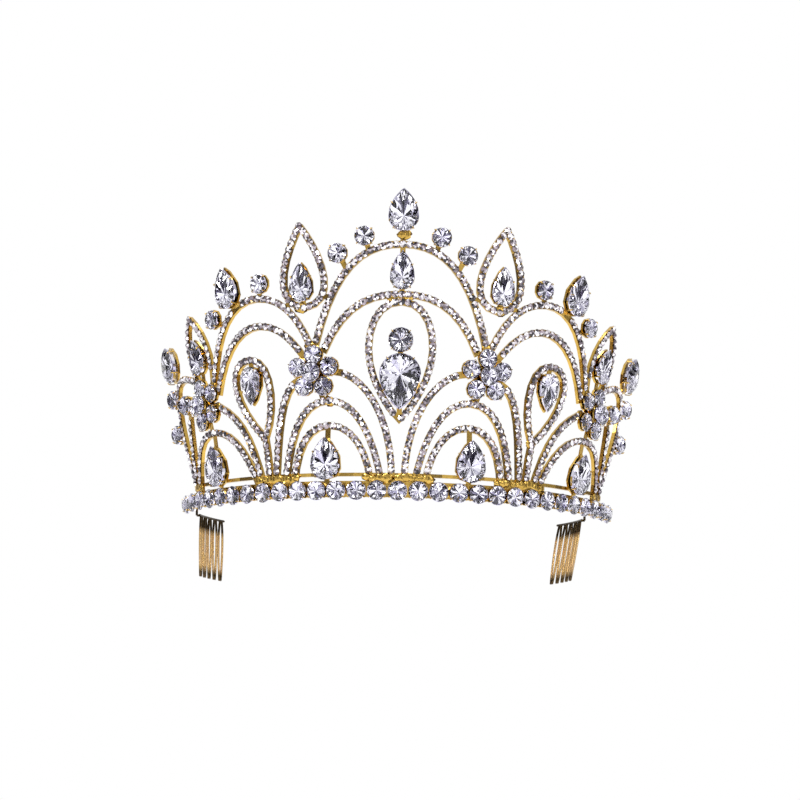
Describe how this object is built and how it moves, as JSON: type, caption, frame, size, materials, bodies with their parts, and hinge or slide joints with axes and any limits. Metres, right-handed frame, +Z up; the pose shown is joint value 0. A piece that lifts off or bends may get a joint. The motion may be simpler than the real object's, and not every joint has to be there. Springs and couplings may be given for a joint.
{
  "type": "pageant crown",
  "caption": "Openwork pageant crown of gold-plated arches and flowers set with clear pear and round crystals, worn upright on the head and held by a hair comb at each end.",
  "frame": {"origin": "centre of the circle that the band follows, level with the lower edge of the rim, where the crown sits on the head", "axes": "+Z up out of the head, the front of the crown faces -Y, +X to the wearer's left"},
  "size_m": [0.1586, 0.0802, 0.1186],
  "materials": {
    "gold_plate": "polished gold plating",
    "comb_wire": "pale gold plated wire",
    "crystal": "cut and foiled clear crystal"
  },
  "bodies": {
    "root": {"frame": "gold_plate", "rim_row": "crystal", "comb_left": "comb_wire", "comb_right": "comb_wire", "crest_pear": "crystal", "hanging_pear": "crystal", "centre_round": "crystal", "centre_pear": "crystal", "inner_round_left": "crystal", "inner_round_right": "crystal", "outer_round_left": "crystal", "outer_round_right": "crystal", "leaf_pear_left": "crystal", "leaf_pear_right": "crystal", "side_round_left": "crystal", "side_round_right": "crystal", "side_pear_left": "crystal", "side_pear_right": "crystal", "shoulder_round_left": "crystal", "shoulder_round_right": "crystal", "small_leaf_pear_left": "crystal", "small_leaf_pear_right": "crystal", "loop_pear_left": "crystal", "loop_pear_right": "crystal", "lower_pear_left": "crystal", "lower_pear_right": "crystal", "low_side_pear_left": "crystal", "low_side_pear_right": "crystal", "end_pear_left": "crystal", "end_pear_right": "crystal", "end_round_upper_left": "crystal", "end_round_upper_right": "crystal", "end_round_lower_left": "crystal", "end_round_lower_right": "crystal", "end_round_inner_left": "crystal", "end_round_inner_right": "crystal", "flower_inner_left": "crystal", "flower_inner_right": "crystal", "flower_outer_left": "crystal", "flower_outer_right": "crystal"}
  },
  "joints": []
}
